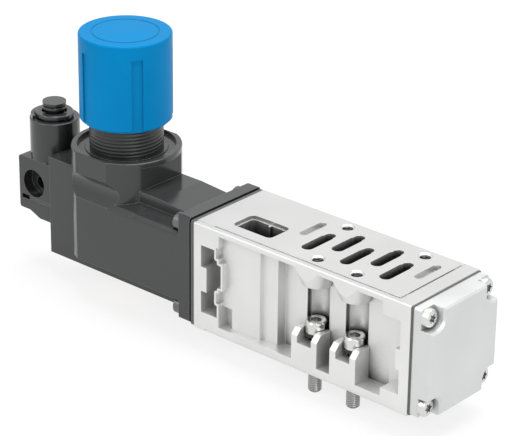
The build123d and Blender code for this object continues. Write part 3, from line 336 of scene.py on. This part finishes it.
@dataclass(frozen=True)
class Finish:
    """One procedural finish: tone, gloss, grain, softened edges and shaded hollows.

    Hollows lose hollow_depth of their tone between hollow_front and hollow_rear and right
    of hollow_left, apart from shallow pockets at hollow_pale from the middle, which lose
    hollow_outer as all others do.
    """

    name: str
    key: str
    colour: Colour
    surface: Surface
    roughness: float
    tone_shift: float = 0.06
    roughness_shift: float = 0.08
    patina_scale: float = 38.0
    grain_scale: float = 900.0
    grain_height: float = 0.00002
    edge_radius: float = 0.0003
    # edge_lift lightens the edges: wear, and a painted highlight along them.
    edge_lift: float = 0.12
    specular: float = 0.5
    coat: float = 0.0
    hollow_reach: float = 10.0 * MM
    hollow_depth: float = 0.3
    hollow_outer: float = 0.3
    hollow_front: float = -1.0
    hollow_rear: float = 1.0
    hollow_left: float = -1.0
    hollow_pale: float = 9.0

    def build(self, effects: Effects) -> bpy.types.Material:
        """Make the material.

        Args:
            effects: Shared effect groups.

        Returns:
            The finished material.
        """
        material = bpy.data.materials.new(self.name)
        material.use_nodes = True
        graph = Graph(material.node_tree)
        shader = graph.add("BsdfPrincipled")
        output = graph.add("OutputMaterial")
        graph.feed(output.inputs["Surface"], shader.outputs["BSDF"])
        patina = graph.group(effects.patina, Scale=self.patina_scale).outputs["Mask"]
        edge = graph.group(effects.edge, Radius=self.edge_radius)
        grain = graph.group(effects.grain, Scale=self.grain_scale)
        hollow = graph.group(
            effects.hollow,
            Reach=self.hollow_reach,
            Depth=self.hollow_depth,
            Outer=self.hollow_outer,
            Front=self.hollow_front,
            Rear=self.hollow_rear,
            Left=self.hollow_left,
            Pale=self.hollow_pale,
        )
        tone = self._tone(graph, patina, edge.outputs["Mask"])
        shaded = graph.blend(hollow.outputs["Mask"], (0.0, 0.0, 0.0), tone)
        graph.feed(shader.inputs["Base Color"], shaded)
        least, most = self.roughness - self.roughness_shift, self.roughness + self.roughness_shift
        rough = graph.remap(patina, least, most)
        graph.feed(shader.inputs["Roughness"], self._polish(graph, rough))
        bump = graph.add("Bump")
        bump.inputs["Strength"].default_value = 1.0
        graph.feed(bump.inputs["Distance"], self.grain_height)
        graph.feed(bump.inputs["Height"], self._relief(graph, effects, grain.outputs["Height"]))
        graph.feed(bump.inputs["Normal"], edge.outputs["Normal"])
        graph.feed(shader.inputs["Normal"], bump.outputs["Normal"])
        shader.inputs["Metallic"].default_value = self.surface.value
        shader.inputs["Specular IOR Level"].default_value = self.specular
        shader.inputs["Coat Weight"].default_value = self.coat
        return material

    def _tone(self, graph: Graph, patina: object, edge: object) -> bpy.types.NodeSocket:
        """Colour that drifts slowly and is lighter along the edges, as wear and as a painted highlight.

        Args:
            graph: The material's graph.
            patina: Slow mask.
            edge: Edge mask.

        Returns:
            The colour socket.
        """
        dark = tuple(value * (1.0 - self.tone_shift) for value in self.colour)
        light = tuple(min(value * (1.0 + self.tone_shift), 1.0) for value in self.colour)
        # Edges lighter by edge_lift: partly wear, partly a painted highlight along them.
        edge_wear_and_sheen = tuple(value + (1.0 - value) * self.edge_lift for value in self.colour)
        drift = graph.blend(patina, dark, light)
        return graph.blend(graph.math("MULTIPLY", edge, self.edge_lift), drift, edge_wear_and_sheen)

    def _polish(self, graph: Graph, rough: object) -> object:
        """Roughness of the plain surface, which a special finish changes."""
        return rough

    def _relief(self, graph: Graph, effects: Effects, height: object) -> object:
        """Relief of the plain surface, which a special finish adds to."""
        return height


@dataclass(frozen=True)
class CastFinish(Finish):
    """Die-cast metal with milled top and base faces, of which only the top face is given the milled
    finish.
    """

    milled_height: float = 45.5 * MM
    milled_roughness: float = 0.34
    milled_tone: float = 0.82

    def _milled(self, graph: Graph) -> bpy.types.NodeSocket:
        """One on the milled top face, zero elsewhere.

        Args:
            graph: The material's graph.

        Returns:
            The mask socket.
        """
        place = graph.add("SeparateXYZ")
        graph.feed(place.inputs[0], graph.add("TexCoord").outputs["Object"])
        return graph.math("GREATER_THAN", place.outputs["Z"], self.milled_height)

    def _tone(self, graph: Graph, patina: object, edge: object) -> bpy.types.NodeSocket:
        """Make the milled top a little darker than the blasted skin.

        Args:
            graph: The material's graph.
            patina: Slow mask.
            edge: Edge mask.

        Returns:
            The colour socket.
        """
        skin = super()._tone(graph, patina, edge)
        cut = tuple(value * self.milled_tone for value in self.colour)
        return graph.blend(self._milled(graph), skin, cut)

    def _polish(self, graph: Graph, rough: object) -> object:
        """Make the milled faces smoother than the cast skin.

        Args:
            graph: The material's graph.
            rough: Roughness of the cast skin.

        Returns:
            The roughness socket.
        """
        step = graph.math("MULTIPLY", self._milled(graph), self.milled_roughness - self.roughness)
        return graph.math("ADD", rough, step, clamp=True)

    def _relief(self, graph: Graph, effects: Effects, height: object) -> object:
        """Lay cutter tracks over the milled face and keep the cast grain elsewhere.

        Args:
            graph: The material's graph.
            effects: Shared effect groups.
            height: Grain height.

        Returns:
            The height socket.
        """
        tracks = graph.group(effects.feed_marks).outputs["Height"]
        milled = self._milled(graph)
        cast = graph.math("MULTIPLY", height, graph.math("SUBTRACT", 1.0, milled))
        return graph.math("ADD", cast, graph.math("MULTIPLY", tracks, milled))


@dataclass(frozen=True)
class MouldedFinish(Finish):
    """Moulded plastic with faint round ejector marks on one side."""

    marks: tuple[Point, ...] = ()
    mark_radius: float = 3.0 * MM
    mark_depth: float = 9.0

    def _relief(self, graph: Graph, effects: Effects, height: object) -> object:
        """Add the rim of each ejector mark to the grain.

        Args:
            graph: The material's graph.
            effects: Shared effect groups.
            height: Grain height.

        Returns:
            The height socket.
        """
        place = graph.add("TexCoord").outputs["Object"]
        for centre in self.marks:
            gap = graph.add("VectorMath", operation="DISTANCE")
            graph.feed(gap.inputs[0], place)
            gap.inputs[1].default_value = centre
            inside = graph.math("LESS_THAN", gap.outputs["Value"], self.mark_radius)
            height = graph.math("SUBTRACT", height, graph.math("MULTIPLY", inside, self.mark_depth))
        return height


@dataclass(frozen=True)
class ThreadFinish(Finish):
    """Cut or moulded thread that is darker in its roots."""

    root_shade: float = 0.7

    def _tone(self, graph: Graph, patina: object, edge: object) -> bpy.types.NodeSocket:
        """Colour that falls off towards the roots of the thread.

        Args:
            graph: The material's graph.
            patina: Slow mask.
            edge: Edge mask.

        Returns:
            The colour socket.
        """
        crest = super()._tone(graph, patina, edge)
        lift = graph.add("Attribute", attribute_name="lift").outputs["Fac"]
        root = tuple(value * (1.0 - self.root_shade) for value in self.colour)
        return graph.blend(lift, root, crest)


@dataclass(frozen=True)
class Thread:
    """Round thread ridge laid on a shank, a neck or the wall of a hole."""

    name: str
    centre: tuple[float, float]
    bottom: float
    top: float
    root: float
    crest: float
    pitch: float
    segments: int = 48
    rings_per_turn: int = 6
    run_out_turns: float = 0.25

    def build(self) -> bpy.types.Object:
        """Make the ridge as a strip that winds up from bottom to top.

        Returns:
            The new mesh object, linked to the scene.
        """
        turns = (self.top - self.bottom) / self.pitch
        rows = int(turns * self.rings_per_turn) + 1
        points: list[Point] = []
        lifts: list[float] = []
        for row in range(rows + 1):
            height = self.bottom + (self.top - self.bottom) * row / rows
            for step in range(self.segments):
                angle = 2 * math.pi * step / self.segments
                phase = (height / self.pitch - step / self.segments) % 1.0
                lift = 1.0 - abs(2.0 * phase - 1.0)
                ends = min(row, rows - row) / (self.run_out_turns * self.rings_per_turn)
                radius = self.root + (self.crest - self.root) * lift * min(ends, 1.0)
                lifts.append(lift)
                points.append(
                    (
                        self.centre[0] + radius * math.cos(angle),
                        self.centre[1] + radius * math.sin(angle),
                        height,
                    )
                )
        faces = []
        for row in range(rows):
            for step in range(self.segments):
                right = (step + 1) % self.segments
                low, high = row * self.segments, (row + 1) * self.segments
                faces.append((low + step, low + right, high + right, high + step))
        mesh = bpy.data.meshes.new(self.name)
        mesh.from_pydata(points, [], faces)
        mesh.attributes.new("lift", "FLOAT", "POINT").data.foreach_set("value", lifts)
        if self.crest < self.root:
            mesh.flip_normals()
        mesh.shade_smooth()
        thread = bpy.data.objects.new(self.name, mesh)
        bpy.context.scene.collection.objects.link(thread)
        return thread


@dataclass
class Workshop:
    """Finishes by record slot, and the way pieces receive them."""

    effects: Effects = field(default_factory=Effects)
    materials: dict[str, bpy.types.Material] = field(default_factory=dict)

    def prepare(self, finishes: list[Finish]) -> None:
        """Build every finish once.

        Args:
            finishes: All finishes of the part.
        """
        for finish in finishes:
            self.materials[finish.key] = finish.build(self.effects)

    def dress_node(self, node: str, slot: str) -> None:
        """Give a CAD node its finish.

        Args:
            node: Name of the node.
            slot: Finish to use.
        """
        piece = frame["nodes"][node]
        if not piece.material_slots:
            piece.data.materials.append(self.materials[slot])
        for place in piece.material_slots:
            place.material = self.materials[slot]
        LOG.info("%s dressed as %s", node, slot)

    def add_piece(self, piece: bpy.types.Object, finish: str, body: str) -> None:
        """Finish a new piece and let it move with a body.

        Args:
            piece: The new object.
            finish: Key of the finish to use.
            body: Body it rides on.
        """
        piece.data.materials.append(self.materials[finish])
        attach(piece, body)
        LOG.info("%s rides on %s", piece.name, body)


@dataclass
class PlateDress:
    """Die-cast plate with its captive screws and tapped holes."""

    front_y: float = -13.7 * MM
    rear_y: float = 15.6 * MM
    front_x: float = 9.5 * MM
    rear_x: float = 19.0 * MM
    tap_depth: float = 9.8 * MM
    tap_radius: float = 2.1 * MM
    screw_radius: float = 2.5 * MM
    tip_length: float = 10.1 * MM
    top: float = 45.8 * MM
    pitch: float = 0.8 * MM
    relief: float = 0.22 * MM
    tap_start: float = 0.55 * MM
    seat: float = 0.02 * MM

    def centres(self) -> dict[str, tuple[float, float]]:
        """Places of the four screw axes by name."""
        return {
            "front_left": (-self.front_x, self.front_y),
            "front_right": (self.front_x, self.front_y),
            "rear_left": (-self.rear_x, self.rear_y),
            "rear_right": (self.rear_x, self.rear_y),
        }

    def build(self, shop: Workshop) -> None:
        """Lay threads on the screw tips and in the tapped holes.

        Args:
            shop: Finishes and fitting.
        """
        for name, centre in self.centres().items():
            tip = Thread(
                name=f"screw_thread_{name}",
                centre=centre,
                bottom=-self.tip_length,
                top=0.0,
                root=self.screw_radius - self.seat,
                crest=self.screw_radius + self.relief,
                pitch=self.pitch,
                segments=36,
            ).build()
            shop.add_piece(tip, "screw_thread", "base")
            tap = Thread(
                name=f"tap_thread_{name}",
                centre=centre,
                bottom=self.top - self.tap_depth,
                top=self.top - self.tap_start,
                root=self.tap_radius + self.seat,
                crest=self.tap_radius - self.relief,
                pitch=self.pitch,
                segments=36,
            ).build()
            shop.add_piece(tap, "tap_thread", "base")


@dataclass
class BonnetDress:
    """Thread on the neck between the collar and the knob."""

    axis_x: float = -123.2 * MM
    bottom: float = 55.6 * MM
    top: float = 75.0 * MM
    radius: float = 15.0 * MM
    depth: float = 0.22 * MM
    pitch: float = 1.5 * MM
    seat: float = 0.03 * MM

    def build(self, shop: Workshop) -> None:
        """Lay the thread on the neck.

        Args:
            shop: Finishes and fitting.
        """
        neck = Thread(
            name="bonnet_thread",
            centre=(self.axis_x, 0.0),
            bottom=self.bottom,
            top=self.top,
            root=self.radius - self.seat,
            crest=self.radius + self.depth,
            pitch=self.pitch,
            segments=96,
        ).build()
        shop.add_piece(neck, "neck_thread", "base")


@dataclass(frozen=True)
class Lamp:
    """Soft square lamp that faces the part."""

    name: str
    place: Point
    size: float
    power: float

    def build(self, aim: Point) -> None:
        """Add the lamp to the scene.

        Args:
            aim: Point that the lamp looks at.
        """
        data = bpy.data.lights.new(self.name, "AREA")
        data.shape = "SQUARE"
        data.size = self.size
        data.energy = self.power
        lamp = bpy.data.objects.new(self.name, data)
        sight = Vector(aim) - Vector(self.place)
        turn = sight.to_track_quat("-Z", "Y").to_matrix().to_4x4()
        lamp.matrix_world = Matrix.Translation(self.place) @ turn
        bpy.context.scene.collection.objects.link(lamp)


@dataclass
class Studio:
    """Pale floor, soft lamps and the camera at the photograph's angle."""

    floor_z: float = -10.9 * MM
    floor_size: float = 6.0
    camera_place: Point = (503.17 * MM, -636.13 * MM, 433.75 * MM)
    camera_yaw: float = 41.068
    camera_pitch: float = 24.736
    camera_roll: float = 0.691
    lens: float = 164.83
    sensor: float = 36.0
    world_light: float = 0.38
    floor_colour: Colour = (0.86, 0.86, 0.86)
    floor_glow: float = 0.82
    far_limit: float = 20.0
    lamp_aim: Point = (-0.06, 0.0, 0.04)
    lamps: tuple[Lamp, ...] = (
        Lamp("key_lamp", (-0.55, -1.25, 1.15), 0.8, 10.5),
        Lamp("top_lamp", (0.05, 0.25, 1.5), 1.2, 27.0),
        Lamp("side_lamp", (1.35, -0.6, 0.75), 0.8, 9.0),
    )

    def build(self) -> None:
        """Set up everything round the part."""
        self._camera()
        self._world()
        self._floor()
        for lamp in self.lamps:
            lamp.build(self.lamp_aim)
        bpy.context.scene.view_settings.view_transform = "Standard"

    def _camera(self) -> None:
        """Place the camera from its yaw, pitch, roll and lens."""
        yaw, pitch, roll = (
            math.radians(value) for value in (self.camera_yaw, self.camera_pitch, self.camera_roll)
        )
        forward = Vector(
            (
                -math.sin(yaw) * math.cos(pitch),
                math.cos(yaw) * math.cos(pitch),
                -math.sin(pitch),
            )
        )
        right = Vector((math.cos(yaw), math.sin(yaw), 0.0))
        up = right.cross(forward)
        level = math.cos(roll) * right + math.sin(roll) * up
        upright = -math.sin(roll) * right + math.cos(roll) * up
        data = bpy.data.cameras.new("photo_camera")
        data.sensor_fit = "HORIZONTAL"
        data.sensor_width = self.sensor
        data.lens = self.lens
        data.clip_end = self.far_limit
        camera = bpy.data.objects.new("photo_camera", data)
        turn = Matrix((level, upright, -forward)).transposed()
        camera.matrix_world = Matrix.Translation(self.camera_place) @ turn.to_4x4()
        bpy.context.scene.collection.objects.link(camera)
        bpy.context.scene.camera = camera

    @staticmethod
    def _seen(graph: Graph) -> bpy.types.NodeSocket:
        """One where the camera, a reflection or a see-through ray looks.

        Args:
            graph: Graph of a world or a material.

        Returns:
            The mask socket.
        """
        path = graph.add("LightPath")
        seen = graph.math("MAXIMUM", path.outputs["Is Camera Ray"], path.outputs["Is Glossy Ray"])
        return graph.math("MAXIMUM", seen, path.outputs["Is Transmission Ray"])

    def _world(self) -> None:
        """White surroundings that light the part softly."""
        world = bpy.data.worlds.new("studio_world")
        bpy.context.scene.world = world
        world.use_nodes = True
        graph = Graph(world.node_tree)
        backdrop = graph.add("Background")
        output = graph.add("OutputWorld")
        graph.feed(output.inputs["Surface"], backdrop.outputs["Background"])
        graph.feed(backdrop.inputs["Color"], (1.0, 1.0, 1.0))
        strength = graph.remap(self._seen(graph), self.world_light, 1.0)
        graph.feed(backdrop.inputs["Strength"], strength)

    def _floor(self) -> None:
        """Plain white floor that keeps a faint shadow."""
        half = self.floor_size / 2
        mesh = bpy.data.meshes.new("studio_floor")
        corners = [(-half, -half), (half, -half), (half, half), (-half, half)]
        mesh.from_pydata([(x, y, self.floor_z) for x, y in corners], [], [(0, 1, 2, 3)])
        floor = bpy.data.objects.new("studio_floor", mesh)
        bpy.context.scene.collection.objects.link(floor)
        material = bpy.data.materials.new("floor_white")
        material.use_nodes = True
        graph = Graph(material.node_tree)
        matt = graph.add("BsdfDiffuse")
        glow = graph.add("Emission")
        graph.feed(matt.inputs["Color"], self.floor_colour)
        graph.feed(glow.inputs["Color"], (1.0, 1.0, 1.0))
        mix = graph.add("MixShader")
        graph.feed(mix.inputs[0], graph.math("MULTIPLY", self._seen(graph), self.floor_glow))
        graph.feed(mix.inputs[1], matt.outputs["BSDF"])
        graph.feed(mix.inputs[2], glow.outputs["Emission"])
        output = graph.add("OutputMaterial")
        graph.feed(output.inputs["Surface"], mix.outputs["Shader"])
        mesh.materials.append(material)


def finishes() -> list[Finish]:
    """All finishes of the part, one for each material slot of the record."""
    return [
        CastFinish(
            "cast_plate",
            "cast_plate",
            (0.7, 0.7, 0.695),
            Surface.CAST,
            0.44,
            hollow_reach=26.0 * MM,
            hollow_depth=0.94,
            hollow_outer=0.25,
            hollow_front=-12.75 * MM,
            hollow_rear=14.2 * MM,
            hollow_left=-55.0 * MM,
            hollow_pale=28.0 * MM,
            edge_lift=0.0,
        ),
        CastFinish("cast_cap", "cast_cap", (0.6, 0.61, 0.61), Surface.CAST, 0.42),
        # tap_thread is far darker than the plate's metal: painted shade inside the tapped holes.
        ThreadFinish("tap_thread", "tap_thread", (0.3, 0.3, 0.3), Surface.METAL, 0.4),
        # screw_thread is darker than the zinc heads: painted shade on the tips under the plate.
        ThreadFinish("screw_thread", "screw_thread", (0.5, 0.5, 0.49), Surface.METAL, 0.3, root_shade=0.8),
        ThreadFinish(
            "neck_thread", "neck_thread", (0.02, 0.021, 0.021), Surface.DIELECTRIC, 0.34, root_shade=0.2
        ),
        Finish("grey_seal", "grey_seal", (0.09, 0.09, 0.09), Surface.DIELECTRIC, 0.6),
        Finish(
            "zinc_screw",
            "zinc_screw",
            (0.66, 0.66, 0.64),
            Surface.METAL,
            0.24,
            grain_scale=1600.0,
            grain_height=0.00001,
        ),
        Finish("black_rubber", "black_rubber", (0.02, 0.02, 0.02), Surface.DIELECTRIC, 0.7),
        Finish("grey_plastic", "grey_plastic", (0.07, 0.07, 0.07), Surface.DIELECTRIC, 0.4),
        MouldedFinish(
            "black_moulding",
            "black_moulding",
            (0.03, 0.031, 0.031),
            Surface.DIELECTRIC,
            0.18,
            grain_height=0.000006,
            # Bright edge lines of the moulding are painted highlights.
            edge_lift=0.38,
            hollow_reach=24.0 * MM,
            hollow_depth=0.75,
            marks=((-112.0 * MM, -21.0 * MM, 33.0 * MM), (-84.0 * MM, -21.0 * MM, 30.0 * MM)),
        ),
        Finish("black_screw", "black_screw", (0.16, 0.16, 0.16), Surface.METAL, 0.35),
        MouldedFinish(
            "blue_plastic",
            "blue_plastic",
            (0.0, 0.18, 0.42),
            Surface.DIELECTRIC,
            0.38,
            grain_height=0.00001,
            edge_lift=0.08,
            specular=0.04,
        ),
        Finish("brass_part", "brass_part", (0.6, 0.44, 0.2), Surface.METAL, 0.3),
        Finish("spring_steel", "spring_steel", (0.4, 0.4, 0.4), Surface.METAL, 0.3),
        Finish("nickel_part", "nickel_part", (0.55, 0.53, 0.5), Surface.METAL, 0.25),
    ]


def main() -> None:
    """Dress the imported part, light it and place the camera."""
    logging.basicConfig(level=logging.INFO)
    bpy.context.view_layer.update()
    shop = Workshop()
    shop.prepare(finishes())
    for entry in frame["record"]["subparts"]:
        shop.dress_node(entry["node"], entry["material_slot"])
    PlateDress().build(shop)
    BonnetDress().build(shop)
    Studio().build()


if __name__ == "__main__":
    main()
